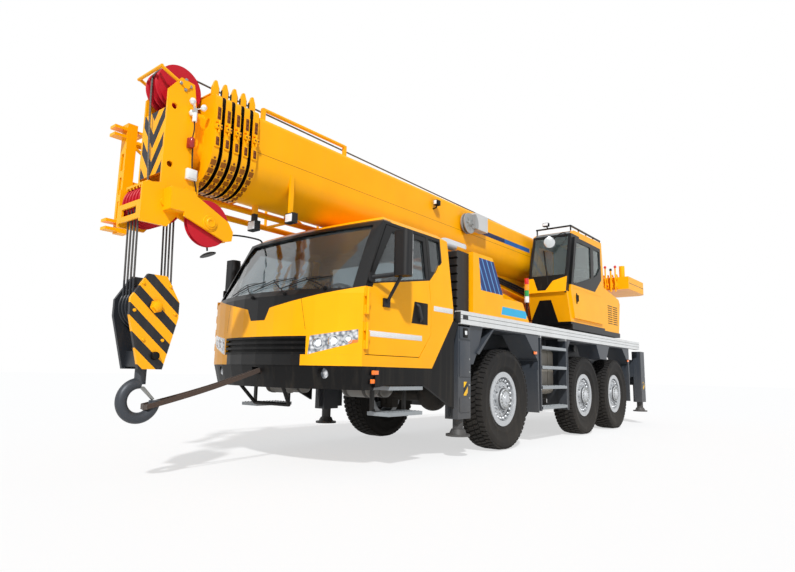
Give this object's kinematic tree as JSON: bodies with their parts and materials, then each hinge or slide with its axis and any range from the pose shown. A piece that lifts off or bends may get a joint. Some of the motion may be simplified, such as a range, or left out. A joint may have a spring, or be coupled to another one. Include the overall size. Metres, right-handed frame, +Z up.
{
  "type": "mobile crane",
  "caption": "Three-axle mobile crane in travel order: driver's cab, slewing upper works with operator's cab, stowed telescopic boom and hook block.",
  "frame": {"origin": "on the ground under the middle of the whole machine", "axes": "+X forward, +Y left, +Z up"},
  "size_m": [11.823, 3.15, 3.945],
  "materials": {
    "paint_amber": "gloss enamel",
    "paint_grey": "satin dark grey",
    "paint_black": "satin black",
    "steel": "machined steel",
    "aluminium": "chequer plate and extrusions",
    "silver": "silver wheel paint",
    "tyre": "rubber",
    "glass": "tinted",
    "lamp": "clear lens",
    "trim": "grained plastic",
    "seat": "seat cloth",
    "cast": "cast"
  },
  "bodies": {
    "carrier": {"chassis_frame": "paint_grey", "axles": "cast", "engine_block": "cast", "deck": "aluminium", "walkways": "aluminium", "wheel_guards": "paint_grey", "outrigger_housings": "paint_grey", "cab_shell": "paint_amber", "cab_front": "trim", "cab_lamps": "lamp", "cab_glass": "glass", "cab_interior": "seat", "engine_cover": "paint_amber", "stacks": "trim"},
    "door_left": {"door_left": "paint_amber", "mirror_left": "trim"},
    "door_right": {"door_right": "paint_amber", "mirror_right": "trim"},
    "knuckle_1l": {"knuckle_1l": "cast"},
    "knuckle_1r": {"knuckle_1r": "cast"},
    "knuckle_3l": {"knuckle_3l": "cast"},
    "knuckle_3r": {"knuckle_3r": "cast"},
    "wheel_1l": {"tyre_1l": "tyre", "rim_1l": "silver"},
    "wheel_1r": {"tyre_1r": "tyre", "rim_1r": "silver"},
    "wheel_2l": {"tyre_2l": "tyre", "rim_2l": "silver"},
    "wheel_2r": {"tyre_2r": "tyre", "rim_2r": "silver"},
    "wheel_3l": {"tyre_3l": "tyre", "rim_3l": "silver"},
    "wheel_3r": {"tyre_3r": "tyre", "rim_3r": "silver"},
    "outrigger_fl": {"beam_fl": "paint_grey"},
    "leg_fl": {"jack_fl": "steel"},
    "outrigger_fr": {"beam_fr": "paint_grey"},
    "leg_fr": {"jack_fr": "steel"},
    "outrigger_rl": {"beam_rl": "paint_grey"},
    "leg_rl": {"jack_rl": "steel"},
    "outrigger_rr": {"beam_rr": "paint_grey"},
    "leg_rr": {"jack_rr": "steel"},
    "upper_works": {"turntable": "paint_amber", "operator_cab": "paint_amber", "operator_glass": "glass", "operator_seat": "seat", "counterweight": "paint_amber", "winch": "steel"},
    "operator_door": {"operator_door": "paint_amber"},
    "luff_barrel": {"luff_barrel": "paint_amber"},
    "luff_rod": {"luff_rod": "steel"},
    "boom": {"boom_base": "paint_amber", "fly_jib": "paint_amber"},
    "section_1": {"section_1": "paint_amber"},
    "section_2": {"section_2": "paint_amber"},
    "section_3": {"section_3": "paint_amber"},
    "section_4": {"section_4": "paint_amber"},
    "boom_head": {"boom_head": "paint_amber"},
    "hook_block": {"hook_block": "paint_black"},
    "hook": {"hook": "cast"}
  },
  "joints": [
    {"name": "steer_1l", "type": "hinge", "parent": "carrier", "child": "knuckle_1l", "pos_m": [1.08, 0.935, 0.685], "axis": [0, 0, 1], "range_deg": [-32, 32]},
    {"name": "steer_1r", "type": "hinge", "parent": "carrier", "child": "knuckle_1r", "pos_m": [1.08, -0.935, 0.685], "axis": [0, 0, 1], "range_deg": [-32, 32]},
    {"name": "steer_3l", "type": "hinge", "parent": "carrier", "child": "knuckle_3l", "pos_m": [-3.57, 0.935, 0.685], "axis": [0, 0, 1], "range_deg": [-19.2, 19.2]},
    {"name": "steer_3r", "type": "hinge", "parent": "carrier", "child": "knuckle_3r", "pos_m": [-3.57, -0.935, 0.685], "axis": [0, 0, 1], "range_deg": [-19.2, 19.2]},
    {"name": "spin_1l", "type": "hinge", "parent": "knuckle_1l", "child": "wheel_1l", "pos_m": [1.08, 1.065, 0.685], "axis": [0, 1, 0], "continuous": true},
    {"name": "spin_1r", "type": "hinge", "parent": "knuckle_1r", "child": "wheel_1r", "pos_m": [1.08, -1.065, 0.685], "axis": [0, 1, 0], "continuous": true},
    {"name": "spin_2l", "type": "hinge", "parent": "carrier", "child": "wheel_2l", "pos_m": [-1.92, 1.065, 0.685], "axis": [0, 1, 0], "continuous": true},
    {"name": "spin_2r", "type": "hinge", "parent": "carrier", "child": "wheel_2r", "pos_m": [-1.92, -1.065, 0.685], "axis": [0, 1, 0], "continuous": true},
    {"name": "spin_3l", "type": "hinge", "parent": "knuckle_3l", "child": "wheel_3l", "pos_m": [-3.57, 1.065, 0.685], "axis": [0, 1, 0], "continuous": true},
    {"name": "spin_3r", "type": "hinge", "parent": "knuckle_3r", "child": "wheel_3r", "pos_m": [-3.57, -1.065, 0.685], "axis": [0, 1, 0], "continuous": true},
    {"name": "door_left_swing", "type": "hinge", "parent": "carrier", "child": "door_left", "pos_m": [4.038, 1.283, 1.5], "axis": [0, 0, -1], "range_deg": [0, 70]},
    {"name": "door_right_swing", "type": "hinge", "parent": "carrier", "child": "door_right", "pos_m": [4.038, -1.283, 1.5], "axis": [0, 0, 1], "range_deg": [0, 70]},
    {"name": "outrigger_fl_slide", "type": "slide", "parent": "carrier", "child": "outrigger_fl", "axis": [0, 1, 0], "range_m": [0, 1.85]},
    {"name": "leg_fl_slide", "type": "slide", "parent": "outrigger_fl", "child": "leg_fl", "axis": [0, 0, -1], "range_m": [0, 0.5]},
    {"name": "outrigger_fr_slide", "type": "slide", "parent": "carrier", "child": "outrigger_fr", "axis": [0, -1, 0], "range_m": [0, 1.85]},
    {"name": "leg_fr_slide", "type": "slide", "parent": "outrigger_fr", "child": "leg_fr", "axis": [0, 0, -1], "range_m": [0, 0.5]},
    {"name": "outrigger_rl_slide", "type": "slide", "parent": "carrier", "child": "outrigger_rl", "axis": [0, 1, 0], "range_m": [0, 1.85]},
    {"name": "leg_rl_slide", "type": "slide", "parent": "outrigger_rl", "child": "leg_rl", "axis": [0, 0, -1], "range_m": [0, 0.5]},
    {"name": "outrigger_rr_slide", "type": "slide", "parent": "carrier", "child": "outrigger_rr", "axis": [0, -1, 0], "range_m": [0, 1.85]},
    {"name": "leg_rr_slide", "type": "slide", "parent": "outrigger_rr", "child": "leg_rr", "axis": [0, 0, -1], "range_m": [0, 0.5]},
    {"name": "slew", "type": "hinge", "parent": "carrier", "child": "upper_works", "pos_m": [-2.67, 0, 1.8], "axis": [0, 0, 1], "continuous": true},
    {"name": "operator_door_slide", "type": "slide", "parent": "upper_works", "child": "operator_door", "axis": [-1, 0, 0], "range_m": [0, 0.62]},
    {"name": "luff", "type": "hinge", "parent": "upper_works", "child": "boom", "pos_m": [-4.27, 0, 3.05], "axis": [0, -1, 0], "range_deg": [0, 80]},
    {"name": "luff_barrel_swing", "type": "hinge", "parent": "upper_works", "child": "luff_barrel", "pos_m": [-2.32, 0, 2.2], "axis": [0, -1, 0], "range_deg": [0, 88.37]},
    {"name": "luff_rod_slide", "type": "slide", "parent": "luff_barrel", "child": "luff_rod", "axis": [0.9898, 0, 0.1423], "range_m": [0, 2.661]},
    {"name": "telescope_1", "type": "slide", "parent": "boom", "child": "section_1", "axis": [1, 0, 0], "range_m": [0, 7]},
    {"name": "telescope_2", "type": "slide", "parent": "section_1", "child": "section_2", "axis": [1, 0, 0], "range_m": [0, 7]},
    {"name": "telescope_3", "type": "slide", "parent": "section_2", "child": "section_3", "axis": [1, 0, 0], "range_m": [0, 7]},
    {"name": "telescope_4", "type": "slide", "parent": "section_3", "child": "section_4", "axis": [1, 0, 0], "range_m": [0, 7]},
    {"name": "telescope_5", "type": "slide", "parent": "section_4", "child": "boom_head", "axis": [1, 0, 0], "range_m": [0, 7]},
    {"name": "hook_hang", "type": "hinge", "parent": "boom_head", "child": "hook_block", "pos_m": [5.688, 0, 2.52], "axis": [0, -1, 0], "range_deg": [-80, 0]},
    {"name": "hook_swivel", "type": "hinge", "parent": "hook_block", "child": "hook", "pos_m": [5.658, 0, 0.72], "axis": [0, 0, 1], "continuous": true}
  ],
  "couplings": [
    {"joint": "steer_1r", "follows": "steer_1l", "ratio": 1},
    {"joint": "steer_3l", "follows": "steer_1l", "ratio": -0.6},
    {"joint": "steer_3r", "follows": "steer_1l", "ratio": -0.6},
    {"joint": "luff_barrel_swing", "follows": "luff", "ratio": 1.1046},
    {"joint": "luff_rod_slide", "follows": "luff", "m_per_rad": 1.9048},
    {"joint": "telescope_2", "follows": "telescope_1", "ratio": 1},
    {"joint": "telescope_3", "follows": "telescope_1", "ratio": 1},
    {"joint": "telescope_4", "follows": "telescope_1", "ratio": 1},
    {"joint": "telescope_5", "follows": "telescope_1", "ratio": 1},
    {"joint": "hook_hang", "follows": "luff", "ratio": -1}
  ]
}
